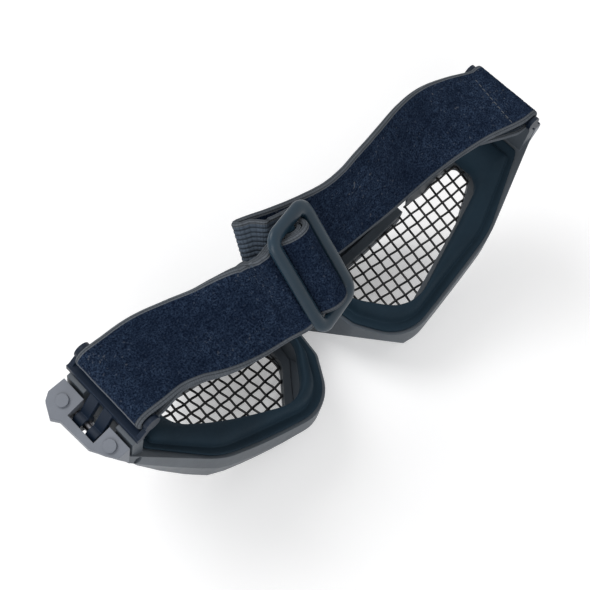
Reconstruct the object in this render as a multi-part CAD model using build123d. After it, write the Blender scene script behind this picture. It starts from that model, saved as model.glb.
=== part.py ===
from build123d import *
import math
import os

# Mesh safety goggles lying on the front of their frame, in millimetres.
# X runs from the wearer's left end to the right end, Y towards the brow, Z up to the face side.
# The shapes are drawn from the middle of the nose notch, and saved from the middle of the
# bridge's front face, which is the origin of the part.

# Wrap of the front, seen from the brow
bridge_flat = 9.5
wrap_radius = 90.0
wrap_angle = 40.0
end_rise_angle = 52.0
end_rise_start = 74.0

# Frame outline, seen from the face side, half of it
brow_middle_height = 19.0
brow_height = 20.5
brow_corner_x = 60.0
notch_height = 4.0
notch_half_width = 5.8
notch_waist_half_width = 8.2
notch_waist_drop = 12.0
nose_pad_x = 18.2
cheek_drop = 28.1
cheek_corner_x = 60.6
cheek_corner_drop = 22.4
notch_round = 4.0
nose_round = 16.0
cheek_round = 27.6
brow_round = 60.0

# Frame shell
rim_depth = 3.0
rim_thickness = 2.4
wall_thickness = 2.4
wall_depth = 16.6
bridge_web = 2.4

# Slant of the wall's front part: (share of the way outwards, shares of the inset at cheek and brow,
# share of the height)
bevel_height = 12.5
bevel_inset = 3.6
bevel_wall = 1.8
lobe_cut_x = 13.6
lobe_cut_drop = 24.0
lobe_cut_turn = 41.8
lobe_cut_slope = 30.4
bevel_shares = [
    (0.006, 0.4, 0.0, 1.0),
    (0.03, 0.7, 0.04, 1.0),
    (0.06, 0.9, 0.08, 1.0),
    (0.1, 1.0, 0.15, 1.0),
    (0.15, 1.0, 0.3, 1.0),
    (0.21, 1.0, 0.5, 1.0),
    (0.28, 1.0, 0.7, 1.0),
    (0.36, 1.0, 0.9, 1.0),
    (0.44, 1.0, 1.0, 1.0),
    (0.52, 1.0, 1.0, 1.0),
    (0.6, 1.0, 1.0, 1.0),
    (0.68, 1.0, 1.0, 1.0),
    (0.76, 1.2, 1.0, 1.0),
    (0.85, 1.6, 1.0, 1.04),
    (0.92, 2.1, 1.0, 1.1),
    (0.998, 4.2, 1.0, 1.2),
]

# Eye opening of the front and of the pads, half outline, right eye
eye_nose_x = 11.6
eye_top = 10.0
eye_side_x = 12.4
eye_side_drop = 5.5
eye_low_x = 25.6
eye_low_drop = 22.1
eye_rise_x = 66.0
eye_rise_drop = 7.7
lens_side_drop = 2.8
lens_lobe_inset = 13.4
lens_lobe_rise = 4.8
lens_low_round = 8.0
lens_end_x = 76.8
lens_end_drop = 0.8
lens_end_top = 8.0
lip_end_x = 68.8
lip_end_top = 8.8
eye_top_round = 4.0
eye_side_round = 10.0
eye_low_round = 13.0
eye_end_round = 4.0
lip_low_round = 7.0

# Woven wire screens
mesh_pitch = 3.75
wire_diameter = 0.7
screen_thickness = 1.0
screen_border = 2.6
left_weave_turn = -5.4
right_weave_turn = -10.6
left_weave_x = 26.3
left_weave_y = -2.2
right_weave_x = 45.6
right_weave_y = -7.8

# Retainer rings that clamp the screens, and the oval holes in the frame wall
retainer_width = 3.4
retainer_thickness = 2.2
hole_x = 84.3
hole_z = 52.4
hole_width = 1.7
hole_height = 3.8
hole_lean = 14.0

# Face pads
pad_flange_thickness = 1.2
pad_flange_width = 3.0
pad_lip_height = 6.1
pad_crown_bevel = 2.6
pad_edge_inset = 1.0

# End brackets with their two lugs, and the posts of the frame beside them
end_centre_y = 2.5
bracket_inner_x = 86.5
bracket_reach = 9.0
bracket_half_height = 13.2
bracket_plan_shares = [(0.0, 1.0), (0.54, 1.04), (0.77, 0.94), (1.0, 0.6), (0.84, 0.42)]
bracket_cheek_shares = [(0.0, 1.0), (0.38, 0.98), (0.58, 0.74), (0.78, 0.42)]
bracket_round = 0.6
bracket_root_depth = 9.2
bracket_knee_depth = 6.6
bracket_knee_share = 0.52
bracket_edge_depth = 1.6
bracket_edge_share = 0.76
lug_edge_thickness = 1.0
lug_chamfer_reach = 3.4
lug_chamfer_angle = 50.0
window_half_height = 5.2
window_strip = 2.2
lug_rear_z = 61.7
lug_rear_slope = 23.0
post_inner_x = 82.0
post_gap = 0.9
post_half_gap = 6.4
rivet_x = 90.4
rivet_cheek_x = 89.5
rivet_offset_y = 9.0
rivet_head_radius = 1.85
rivet_head_height = 0.7
rivet_shank_radius = 1.2
rivet_shank_length = 2.4

# Strap clips and their pins
pin_radius = 1.25
pin_x = 88.9
pin_z = 56.2
pin_length = 14.4
knuckle_radius = 2.6
knuckle_width = 3.2
knuckle_offset = 2.7
base_bar_x = 83.8
base_bar_z = 64.9
base_bar_width = 2.4
base_bar_height = 1.8
cheek_thickness = 1.3
cheek_radius = 2.4
loop_bar_x = 80.0
loop_bar_z = 68.8
loop_bar_radius = 1.7

# Strap: flat band, its routes as shares of the span, the width and the width again
strap_width = 25.0
strap_thickness = 1.5
layer_gap = 0.35
loop_tail = 4.0
middle_shares = (-0.1, 0.18, -0.47)
fold_radius = 1.9
right_route_shares = [
    (1.0, 0.0, 0.0, 0.0, 0.0),
    (0.824, 0.12, 0.108, 9.0, 0.09),
    (0.68, 0.17, 0.14, 23.0, 0.02),
    (0.54, 0.17, 0.15, 36.0, -0.03),
    (0.395, 0.124, 0.168, 46.0, -0.04),
    (0.25, 0.064, 0.196, 53.0, -0.03),
    (0.12, 0.04, 0.15, 60.0, 0.02),
    (-0.015, 0.03, 0.14, 62.0, 0.08),
    (-0.152, 0.044, 0.192, 60.0, 0.13),
    (-0.296, 0.092, 0.24, 55.0, 0.16),
    (-0.42, 0.136, 0.296, 47.0, 0.15),
]
left_route_shares = [
    (-1.0, 0.0, 0.0, 0.0, 0.0),
    (-0.88, 0.004, 0.056, 0.0, 0.12),
    (-0.77, -0.076, 0.064, 2.0, 0.25),
    (-0.67, -0.188, 0.096, 12.0, 0.27),
    (-0.572, -0.276, 0.176, 27.0, 0.13),
    (-0.487, -0.364, 0.296, 40.0, -0.05),
]

# Slider buckle: a frame with a middle bar, turned with the band that it holds
slider_x = -23.6
slider_y = -9.2
slider_z = 84.2
slider_yaw = 7.0
slider_drop_angle = 13.4
slider_tilt = 44.5
slider_play = 1.05
slider_width = 20.0
slider_bar = 3.2
slider_middle_bar_radius = 1.3
slider_thickness = 2.6
slider_corner = 5.0
slider_edge_round = 0.9
slider_hump_start = 6.2
slider_band_reach = 10.0

# Fits
running_fit = 0.3
pin_clearance = 0.08
overrun = 30.0
deep = 200.0


def wrap_arc_end():
    """Distance from the middle where the round part of the wrap ends."""
    return bridge_flat + wrap_radius * math.sin(math.radians(wrap_angle))


def front_height(x):
    """Height of the screen surface over the ground at a distance x from the middle."""
    side = abs(x)
    arc_end = wrap_arc_end()
    if side <= bridge_flat:
        return rim_depth
    if side <= arc_end:
        return rim_depth + wrap_radius - math.sqrt(wrap_radius ** 2 - (side - bridge_flat) ** 2)
    arc_rise = wrap_radius * (1 - math.cos(math.radians(wrap_angle)))
    return rim_depth + arc_rise + (side - arc_end) * math.tan(math.radians(wrap_angle))


def wrap_line(depth, reach):
    """Edges of the right half of the screen's line, moved rearwards by depth."""
    arc_end = wrap_arc_end()
    arc_middle = bridge_flat + wrap_radius * math.sin(math.radians(wrap_angle / 2))
    places = [(x, front_height(x) + depth) for x in (0, bridge_flat, arc_middle, arc_end, reach)]
    arc = ThreePointArc(places[1], places[2], places[3])
    return [Line(places[0], places[1]), arc, Line(places[3], places[4])]


def end_x():
    """Distance from the middle to the tip of an end bracket."""
    return bracket_inner_x + bracket_reach


def both_sides(solid):
    return solid + mirror(solid, about=Plane.YZ)


def wrapped_slab(low, high):
    """Right half of the layer between two depths behind the screen's surface."""
    reach = end_x()
    ends = [Line((x, front_height(x) + low), (x, front_height(x) + high)) for x in (0, reach)]
    section = make_face(wrap_line(low, reach) + wrap_line(high, reach) + ends)
    return extrude(Plane.XZ * section, amount=deep, both=True)


def outline(corners):
    """Closed face through (x, y, corner radius) places, with tangent arcs at the corners."""
    edges = []
    places = [Vector(x, y) for x, y, _ in corners]
    starts, ends = [], []
    for i, (x, y, radius) in enumerate(corners):
        here = places[i]
        back = (places[i - 1] - here).normalized()
        ahead = (places[(i + 1) % len(places)] - here).normalized()
        half_turn = math.radians(back.get_angle(ahead)) / 2
        reach = radius / math.tan(half_turn)
        starts.append(here + back * reach)
        ends.append(here + ahead * reach)
        if radius > 0:
            inward = (back + ahead).normalized()
            middle = here + inward * (radius / math.sin(half_turn) - radius)
            edges.append(ThreePointArc(starts[i], middle, ends[i]))
    for i in range(len(places)):
        edges.append(Line(ends[i], starts[(i + 1) % len(places)]))
    return make_face(edges)


def frame_half_outline():
    top = end_centre_y + bracket_half_height
    low = end_centre_y - bracket_half_height
    return outline([
        (0, brow_middle_height, 0),
        (brow_corner_x, brow_height, brow_round),
        (bracket_inner_x, top, 0),
        (bracket_inner_x, low, 0),
        (cheek_corner_x, -cheek_corner_drop, cheek_round),
        (nose_pad_x, -cheek_drop, nose_round),
        (notch_waist_half_width, -notch_waist_drop, notch_round),
        (notch_half_width, notch_height, notch_round),
        (0, notch_height, 0),
    ])


def lens_outline():
    return outline([
        (eye_nose_x, eye_top, eye_top_round),
        (eye_side_x, -lens_side_drop, lens_low_round),
        (lobe_cut_x + lens_lobe_inset, lens_lobe_rise - lobe_cut_drop, lens_low_round),
        (eye_rise_x, -eye_rise_drop, eye_low_round),
        (lens_end_x, -lens_end_drop, eye_end_round),
        (lens_end_x, lens_end_top, eye_end_round),
    ])


def lip_outline():
    return outline([
        (eye_nose_x, eye_top, eye_top_round),
        (eye_side_x, -eye_side_drop, eye_side_round),
        (eye_low_x, -eye_low_drop, eye_low_round),
        (lip_end_x, -eye_rise_drop, lip_low_round),
        (lip_end_x, lip_end_top, eye_end_round),
    ])


def prism(face, low=-overrun, high=deep):
    return extrude(Plane.XY.offset(low) * face, amount=high - low)


def pocket_outline():
    """Room inside one half of the frame wall, clear of the nose bridge web and the end block."""
    inner = offset(frame_half_outline(), amount=-wall_thickness)
    width = post_inner_x - wall_thickness - bridge_web
    room = Pos(bridge_web, 0) * Rectangle(width, deep, align=(Align.MIN, Align.CENTER))
    return inner & room


def end_rise_cutter():
    """What lies in front of the frame ends, where the front turns up more steeply."""
    start = (end_rise_start, front_height(end_rise_start) - rim_depth)
    run = deep * math.cos(math.radians(end_rise_angle))
    rise = deep * math.sin(math.radians(end_rise_angle))
    far = start[0] + run
    section = Polygon(start, (far, start[1] + rise), (far, -deep), (start[0], -deep), align=None)
    return extrude(Plane.XZ * section, amount=deep, both=True)


def lug_rear_plane_z(x):
    return lug_rear_z - (x - bracket_inner_x) * math.tan(math.radians(lug_rear_slope))


def below_lug_plane(inner_x, outer_x, low_z):
    """Block under the slanted rear face of the frame end, from inner_x to outer_x."""
    rear = [(x, lug_rear_plane_z(x)) for x in (outer_x, inner_x)]
    section = Polygon((inner_x, low_z), (outer_x, low_z), *rear, align=None)
    return extrude(Plane.XZ * section, amount=deep, both=True)


def band_across(low_offset, high_offset):
    """Everything between two distances from the middle of the frame end, along Y."""
    height = high_offset - low_offset
    block = Box(2 * deep, height, 2 * deep, align=(Align.CENTER, Align.MIN, Align.CENTER))
    return Pos(0, end_centre_y + low_offset, 0) * block


def edge_height(x, side):
    """Height in the outline of the frame's cheek edge (side -1) or brow edge (side 1)."""
    chord = (frame_half_outline() & Line((x, -deep), (x, deep))).bounding_box()
    return chord.max.Y if side > 0 else chord.min.Y


def bevel_section(x, side, inset, height, inward):
    """Section of what lies outside the slanted part of the wall, or a distance inward of it."""
    edge = edge_height(x, side) - side * inward
    top = front_height(x) - rim_depth + height
    low = top - height - overrun
    low_edge = edge - side * inset * (height + overrun) / height
    far = edge + side * (inward + overrun)
    plane = Plane(origin=(x, 0, 0), x_dir=(0, 1, 0), z_dir=(1, 0, 0))
    return plane * Polygon((edge, top), (far, top), (far, low), (low_edge, low), align=None)


def lobe_cutter(inward):
    """What lies outside the slanted corner of the right nose lobe, or a distance inward of it."""
    lobe = Pos(lobe_cut_x, -lobe_cut_drop, rim_depth + wall_depth)
    lobe *= Rot(0, 0, lobe_cut_turn) * Rot(0, -lobe_cut_slope, 0) * Pos(inward, 0, 0)
    block = Box(deep, 2 * deep, 2 * deep, align=(Align.MAX, Align.CENTER, Align.CENTER))
    below = Box(2 * deep, deep, 2 * deep, align=(Align.CENTER, Align.MAX, Align.CENTER))
    return lobe * block & Pos(0, notch_height, 0) * below


def bevel_cutter(inward):
    """What lies outside the slanted front part of the right half's wall."""
    start, span = notch_waist_half_width, bracket_inner_x - notch_waist_half_width
    cheek = [bevel_section(start + share * span, -1, low * bevel_inset, tall * bevel_height, inward)
             for share, low, _, tall in bevel_shares]
    brow = [bevel_section(start + share * span, 1, high * bevel_inset, tall * bevel_height, inward)
            for share, _, high, tall in bevel_shares]
    ends = extrude(cheek[-1], amount=overrun) + extrude(brow[-1], amount=overrun)
    return loft(cheek, ruled=True) + loft(brow, ruled=True) + ends + lobe_cutter(inward)


def frame_half():
    shell = prism(frame_half_outline()) & wrapped_slab(-rim_depth, wall_depth)
    shell -= end_rise_cutter()
    shell -= bevel_cutter(0)
    posts = below_lug_plane(post_inner_x, bracket_inner_x - post_gap, front_height(post_inner_x))
    posts &= band_across(post_half_gap, bracket_half_height) + band_across(-bracket_half_height, -post_half_gap)
    shell += posts - end_rise_cutter() - bevel_cutter(0)
    shell -= disc(pin_x, pin_z, knuckle_radius + post_gap, 2 * post_half_gap, end_centre_y)
    rear_of_rim = rim_thickness - rim_depth
    pocket = prism(pocket_outline()) & wrapped_slab(rear_of_rim, deep)
    shell -= pocket - bevel_cutter(bevel_wall)
    shell -= prism(lens_outline())
    return shell - wall_hole()


def wall_hole():
    """Blind oval hole in the cheek side of the frame wall, beside the end bracket."""
    y = end_centre_y - bracket_half_height
    oval = Plane.XZ * Ellipse(hole_width / 2, hole_height / 2)
    cutter = Rot(0, -hole_lean, 0) * extrude(oval, amount=wall_thickness, both=True)
    return Pos(hole_x, y, hole_z) * cutter


def make_frame():
    return both_sides(frame_half())


def bracket_outline():
    """Outline of the right bracket with its two lugs, seen from the face side."""
    upper = [(bracket_inner_x + x * bracket_reach, end_centre_y + y * bracket_half_height, bracket_round)
             for x, y in bracket_plan_shares]
    lower = [(bracket_inner_x + x * bracket_reach, end_centre_y - y * bracket_half_height, bracket_round)
             for x, y in reversed(bracket_cheek_shares)]
    return outline([(*upper[0][:2], 0)] + upper[1:] + lower[:-1] + [(*lower[-1][:2], 0)])


def bracket_profile():
    """Side view of the bracket: thick at the frame for the pin, thin at its outer edge."""
    knee_x = bracket_inner_x + bracket_knee_share * bracket_reach
    edge_x = bracket_inner_x + bracket_edge_share * bracket_reach
    rear = [(x, lug_rear_plane_z(x)) for x in (end_x(), bracket_inner_x)]
    front = [
        (bracket_inner_x, lug_rear_plane_z(bracket_inner_x) - bracket_root_depth),
        (knee_x, lug_rear_plane_z(knee_x) - bracket_knee_depth),
        (edge_x, lug_rear_plane_z(edge_x) - bracket_edge_depth),
        (end_x(), lug_rear_plane_z(end_x()) - bracket_edge_depth),
    ]
    return extrude(Plane.XZ * Polygon(*front, *rear, align=None), amount=deep, both=True)


def lug_chamfer():
    """What the slanted front of the cheek-side lug leaves free, under its thin edge."""
    root = Vector(bracket_inner_x, end_centre_y - bracket_half_height, lug_rear_z - bracket_root_depth)
    tip_x = bracket_inner_x + lug_chamfer_reach
    tip = Vector(tip_x, root.Y, lug_rear_plane_z(tip_x) - lug_edge_thickness)
    turn = math.radians(lug_chamfer_angle)
    slant = Plane(root, x_dir=tip - root, z_dir=(tip - root).cross(Vector(0, math.cos(turn), -math.sin(turn))))
    side = 1 if slant.z_dir.Z > 0 else -1
    cutter = slant * Pos(0, 0, -side * deep / 2) * Box(2 * deep, 2 * deep, deep)
    return cutter & below_lug_plane(0, 2 * bracket_inner_x, -deep).moved(Location((0, 0, -lug_edge_thickness)))


def make_bracket():
    """Right bracket: a plate with two lugs, a window between them and a thin outer strip."""
    block = prism(bracket_outline()) & bracket_profile()
    block -= lug_chamfer()
    width = bracket_plan_shares[-1][0] * bracket_reach - window_strip
    window = Pos(bracket_inner_x, 0, 0) * Box(width, deep, deep, align=(Align.MIN, Align.CENTER, Align.CENTER))
    block -= window & band_across(-window_half_height, window_half_height)
    block -= pin_solid(pin_radius)
    for side in (-1, 1):
        block -= rivet(side, rivet_head_radius)
    return block


def pin_solid(radius):
    pin = Cylinder(radius, pin_length, rotation=(90, 0, 0))
    return Pos(pin_x, end_centre_y, pin_z) * pin


def rivet(side, head_radius):
    """Rivet through a lug, its head proud of the slanted rear face."""
    y = end_centre_y + side * rivet_offset_y
    x = rivet_x if side > 0 else rivet_cheek_x
    place = Pos(x, y, lug_rear_plane_z(x)) * Rot(0, lug_rear_slope, 0)
    head = Cylinder(head_radius, rivet_head_height, align=(Align.CENTER, Align.CENTER, Align.MIN))
    shank = Cylinder(rivet_shank_radius, rivet_shank_length, align=(Align.CENTER, Align.CENTER, Align.MAX))
    return place * (head + shank)


def hole_places(turn, start_x, start_y):
    """Centres of the openings of one weave, as distances along the screen and heights."""
    spread = int(deep / mesh_pitch)
    cosine, sine = math.cos(math.radians(turn)), math.sin(math.radians(turn))
    places = []
    for i in range(-spread, spread + 1):
        for j in range(-spread, spread + 1):
            along = start_x + mesh_pitch * (i * cosine - j * sine)
            up = start_y + mesh_pitch * (i * sine + j * cosine)
            places.append((along, up))
    return places


def screen_point(along):
    """Place (x, z) and slope of the screen surface at a distance along it from the middle."""
    arc_length = math.radians(wrap_angle) * wrap_radius
    if along <= bridge_flat:
        return along, rim_depth, 0.0
    if along <= bridge_flat + arc_length:
        angle = (along - bridge_flat) / wrap_radius
        x = bridge_flat + wrap_radius * math.sin(angle)
        return x, front_height(x), math.degrees(angle)
    left = along - bridge_flat - arc_length
    x = wrap_arc_end() + left * math.cos(math.radians(wrap_angle))
    return x, front_height(x), wrap_angle


def seat_outline(border):
    """Outline a border wider than the eye opening, clear of the frame's walls."""
    return offset(lens_outline(), amount=border) & offset(pocket_outline(), amount=-running_fit)


def make_screen(turn, start_x, start_y):
    """Right-hand screen: a wrapped sheet with the square openings of the weave."""
    lens = lens_outline()
    border = seat_outline(screen_border)
    sheet = prism(border) & wrapped_slab(-screen_thickness / 2, screen_thickness / 2)
    sheet -= bevel_cutter(bevel_wall + running_fit)
    gap = mesh_pitch - wire_diameter
    opening = Box(gap, gap, 2 * rim_depth)
    holes = []
    for along, up in hole_places(turn, start_x, start_y):
        x, z, slope = screen_point(abs(along))
        if along > 0 and lens.is_inside(Vector(x, up, 0)):
            holes.append(Pos(x, up, z) * Rot(0, -slope, 0) * Rot(0, 0, turn) * opening)
    return sheet - holes


def make_retainer():
    """Ring that clamps the right screen to the frame's rim."""
    ring = prism(seat_outline(retainer_width)) - prism(lens_outline())
    low = screen_thickness / 2
    ring &= wrapped_slab(low, low + retainer_thickness)
    return ring - bevel_cutter(bevel_wall + running_fit)


def make_pad():
    """Right face pad: a flat flange with a crowned ring whose inner lip stands highest."""
    edge = offset(frame_half_outline(), amount=-pad_edge_inset)
    width = post_inner_x - pad_edge_inset - bridge_web / 2
    edge &= Pos(bridge_web / 2, 0) * Rectangle(width, deep, align=(Align.MIN, Align.CENTER))
    eye = prism(lip_outline())
    flange = prism(edge) & wrapped_slab(wall_depth, wall_depth + pad_flange_thickness)
    crown = prism(offset(edge, amount=-pad_flange_width))
    crown &= wrapped_slab(wall_depth, wall_depth + pad_lip_height)
    rim = [edge for face in crown.faces() if on_lip(face) for edge in face.edges() if not on_seam(edge)]
    crown = chamfer(ShapeList(rim), pad_crown_bevel)
    return flange + crown - eye


def on_lip(face):
    """True for a face of the pad's highest layer."""
    middle = face.center()
    return middle.Z > front_height(middle.X) + wall_depth + pad_lip_height - running_fit


def on_seam(edge):
    """True for an edge across the pad, where the round part of the wrap starts or ends."""
    seams = (bridge_flat, wrap_arc_end())
    box = edge.bounding_box()
    return box.size.X < running_fit and any(abs(box.max.X - seam) < running_fit for seam in seams)


def disc(x, z, radius, width, y):
    return Pos(x, y, z) * Cylinder(radius, width, rotation=(90, 0, 0))


def bar_between(start, end, radius, width, y):
    """Flat link with round ends between two (x, z) places, its width along Y."""
    length = math.dist(start, end)
    angle = math.degrees(math.atan2(end[1] - start[1], end[0] - start[0]))
    middle = ((start[0] + end[0]) / 2, (start[1] + end[1]) / 2)
    link = Pos(middle[0], y, middle[1]) * Rot(0, -angle, 0) * Box(length, width, 2 * radius)
    return link + disc(*start, radius, width, y) + disc(*end, radius, width, y)


def make_clip():
    """Right clip: two knuckles on the pin, a base bar, two cheeks and a loop bar."""
    pin, base, loop = (pin_x, pin_z), (base_bar_x, base_bar_z), (loop_bar_x, loop_bar_z)
    span = strap_width + 2 * layer_gap + 2 * cheek_thickness
    clip = Pos(base_bar_x, end_centre_y, base_bar_z) * Box(base_bar_width, span, base_bar_height)
    for side in (-1, 1):
        y = end_centre_y + side * knuckle_offset
        clip += bar_between(pin, base, base_bar_height / 2, knuckle_width, y)
        clip += disc(*pin, knuckle_radius, knuckle_width, y)
        cheek_y = end_centre_y + side * (span - cheek_thickness) / 2
        clip += bar_between(base, loop, base_bar_height / 2, cheek_thickness, cheek_y)
        clip += disc(*loop, cheek_radius, cheek_thickness, cheek_y)
    clip += disc(*loop, loop_bar_radius, span, end_centre_y)
    return clip - disc(*pin, pin_radius + pin_clearance, span, end_centre_y)


def make_end_loop():
    """Strap end bent round the right loop bar, open towards the middle."""
    inner = loop_bar_radius + layer_gap
    outer = inner + strap_thickness
    ring = disc(loop_bar_x, loop_bar_z, outer, strap_width, end_centre_y)
    ring -= disc(loop_bar_x, loop_bar_z, inner, strap_width, end_centre_y)
    keep = Pos(loop_bar_x, end_centre_y, loop_bar_z) * Box(deep, deep, deep, align=(Align.MIN, Align.CENTER, Align.CENTER))
    ring &= keep
    middle = (inner + outer) / 2
    for side in (-1, 1):
        tail = Box(loop_tail, strap_width, strap_thickness, align=(Align.MAX, Align.CENTER, Align.CENTER))
        ring += Pos(loop_bar_x, end_centre_y, loop_bar_z + side * middle) * tail
    return ring


def station(x, y, z, tilt, skew):
    """Place and width direction of a strap section."""
    angle = math.radians(tilt)
    return Vector(x, y, z), Vector(skew, math.cos(angle), math.sin(angle)).normalized()


def route(shares):
    """Strap sections of a table of shares: of the loop's distance, and of the strap width twice."""
    span = loop_bar_x - loop_tail - running_fit
    places = []
    for x, y, z, tilt, skew in shares:
        place = (x * span, end_centre_y + y * strap_width, loop_bar_z + z * strap_width)
        places.append(station(*place, tilt, skew))
    return places


def section_plane(places, i, offset_up):
    """Plane across the strap at station i, moved by offset_up away from the ground side."""
    centre, across = places[i]
    ahead = places[min(i + 1, len(places) - 1)][0] - places[max(i - 1, 0)][0]
    if i == 0:
        ahead = Vector(1, 0, 0)
    ahead = (ahead - across * ahead.dot(across)).normalized()
    up = ahead.cross(across)
    if up.Z < 0:
        ahead, up = -ahead, -up
    return Plane(origin=centre + up * offset_up, x_dir=across, z_dir=ahead)


def band(sections):
    """Strap solid through sections, one plane each."""
    return loft([section * Rectangle(strap_width, strap_thickness) for section in sections], ruled=True)


def slider_plane():
    """Plane of the slider buckle: X along the strap, Y across it, Z away from the ground."""
    return Plane(Pos(slider_x, slider_y, slider_z) * Rot(slider_tilt, slider_drop_angle, slider_yaw))


def layer_step():
    return strap_thickness + layer_gap


def slider_layer(number):
    """Distance of strap layer number 1, 2 or 3 below the middle of the slider."""
    return -(slider_thickness / 2 + layer_gap + strap_thickness / 2 + (number - 1) * layer_step())


def loop_offset():
    return loop_bar_radius + layer_gap + strap_thickness / 2


def slider_section(reach, height):
    """Strap section beside the slider, in its own directions."""
    plane = slider_plane()
    origin = plane.from_local_coords(Vector(reach, 0, height))
    return Plane(origin=origin, x_dir=plane.y_dir, z_dir=plane.x_dir)


def sections_beside(places, side):
    """Sections of one of two layers that part round the loop bar and lie close past it."""
    close = side * layer_step() / 2
    rest = [section_plane(places, i, close) for i in range(1, len(places))]
    return [section_plane(places, 0, side * loop_offset())] + rest


def make_left_band(side, number):
    """Left band over (side 1) or under (side -1) its fellow, to strap layer 1 or 2 of the slider."""
    end = slider_section(-slider_band_reach - running_fit, slider_layer(number))
    return band(sections_beside(route(left_route_shares), side) + [end])


def make_right_band():
    return band(sections_beside(route(right_route_shares), 1))


def make_right_tail():
    """Sewn end under the right band."""
    return band(sections_beside(route(right_route_shares)[:2], -1))


def fold_plane():
    """Section plane of the right band where it folds back over itself."""
    places = route(right_route_shares)
    return section_plane(places, len(places) - 1, layer_step() / 2)


def make_band_fold():
    """Half turn that joins the right band to the middle band above it."""
    end = fold_plane()
    centre = end.origin + end.y_dir * fold_radius
    plane = Plane(origin=centre, x_dir=-end.z_dir, z_dir=end.x_dir)
    ring = Circle(fold_radius + strap_thickness / 2) - Circle(fold_radius - strap_thickness / 2)
    ring &= Rectangle(deep, deep, align=(Align.MIN, Align.CENTER))
    return extrude(plane * ring, amount=strap_width / 2, both=True)


def turn_drop():
    """Distance of the returning layer below the middle of the slider, after the turn at its right."""
    return slider_layer(1) - 2 * fold_radius


def make_middle_band():
    """Layer with its ribbed side up, from the fold to the turn at the slider's right edge."""
    start = fold_plane()
    first = Plane(origin=start.origin + start.y_dir * 2 * fold_radius, x_dir=start.x_dir, z_dir=start.z_dir)
    last = slider_section(slider_band_reach - running_fit, turn_drop())
    shares = [share * slider_width for share in middle_shares]
    across = (first.x_dir + last.x_dir).normalized()
    ahead = last.origin - first.origin
    ahead = (ahead - across * ahead.dot(across)).normalized()
    middle = Plane(origin=slider_plane().from_local_coords(Vector(*shares)), x_dir=across, z_dir=ahead)
    return band([first, middle, last])


def strip(start, end):
    """Flat drawing of a strap stretch with round ends, between two places."""
    middle = ((start[0] + end[0]) / 2, (start[1] + end[1]) / 2)
    angle = math.degrees(math.atan2(end[1] - start[1], end[0] - start[0]))
    stretch = Pos(*middle) * Rot(0, 0, angle) * Rectangle(math.dist(start, end), strap_thickness)
    return stretch + Pos(*start) * Circle(strap_thickness / 2) + Pos(*end) * Circle(strap_thickness / 2)


def square_strip(start, end):
    """Level drawing of a strap stretch with a square start and a round end."""
    low, high = min(start[0], end[0]), max(start[0], end[0])
    stretch = Pos((low + high) / 2, start[1]) * Rectangle(high - low, strap_thickness)
    return stretch + Pos(*end) * Circle(strap_thickness / 2)


def along_slider(drawing, width):
    """Solid of a drawing made in the slider's length and height, spread over the strap width."""
    plane = slider_plane()
    side = Plane(origin=plane.origin, x_dir=plane.x_dir, z_dir=-plane.y_dir)
    return extrude(side * drawing, amount=width / 2, both=True)


def sewn_loop_radius():
    return slider_middle_bar_radius + layer_gap / 2 + strap_thickness


def make_slider_band():
    """Strap over the slider's middle bar, then round the turn at its right edge."""
    radius = sewn_loop_radius() + layer_gap + strap_thickness / 2
    level = slider_layer(1)
    away = math.hypot(slider_hump_start, level)
    direction = math.atan2(-level, slider_hump_start)
    half = math.acos(radius / away)
    tangent_angle = math.pi + direction - half
    tangent = (radius * math.cos(tangent_angle), radius * math.sin(tangent_angle))
    drawing = Circle(radius + strap_thickness / 2) - Circle(radius - strap_thickness / 2)
    drawing &= Pos(0, tangent[1]) * Rectangle(deep, deep, align=(Align.CENTER, Align.MIN))
    for side in (-1, 1):
        drawing += strip((side * slider_hump_start, level), (side * abs(tangent[0]), tangent[1]))
        drawing += square_strip((side * slider_band_reach, level), (side * slider_hump_start, level))
    turn = Circle(fold_radius + strap_thickness / 2) - Circle(fold_radius - strap_thickness / 2)
    turn &= Rectangle(deep, deep, align=(Align.MIN, Align.CENTER))
    drawing += Pos(slider_band_reach, level - fold_radius) * turn
    return along_slider(drawing, strap_width)


def make_sewn_loop():
    """End of the return band, sewn round the slider's middle bar."""
    outer = sewn_loop_radius()
    inner = outer - strap_thickness
    level = slider_layer(2)
    bend = (-slider_hump_start, level)
    drawing = square_strip((-slider_band_reach, level), bend)
    drawing += strip(bend, (0, -(inner + outer) / 2))
    drawing += Circle(outer)
    drawing -= Circle(inner)
    return along_slider(drawing, strap_width)


def make_slider_buckle():
    plane = slider_plane()
    slider_length = strap_width + 2 * (slider_play + slider_bar)
    frame = RectangleRounded(slider_width, slider_length, slider_corner)
    inner_width, inner_length = slider_width - 2 * slider_bar, slider_length - 2 * slider_bar
    frame -= RectangleRounded(inner_width, inner_length, slider_corner - slider_bar)
    body = extrude(frame, amount=slider_thickness / 2, both=True)
    flat_faces = body.faces().filter_by(Axis.Z)
    body = fillet(ShapeList([edge for face in flat_faces for edge in face.edges()]), slider_edge_round)
    rod = Cylinder(slider_middle_bar_radius, slider_length - slider_bar, rotation=(90, 0, 0))
    return plane.location * (body + rod)


def save(name, shape):
    """Write a piece, moved so that the origin is the middle of the bridge's front face."""
    origin_y = (notch_height + brow_middle_height) / 2
    export_step(Pos(0, -origin_y, 0) * shape, "parts/" + name + ".step")


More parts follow.
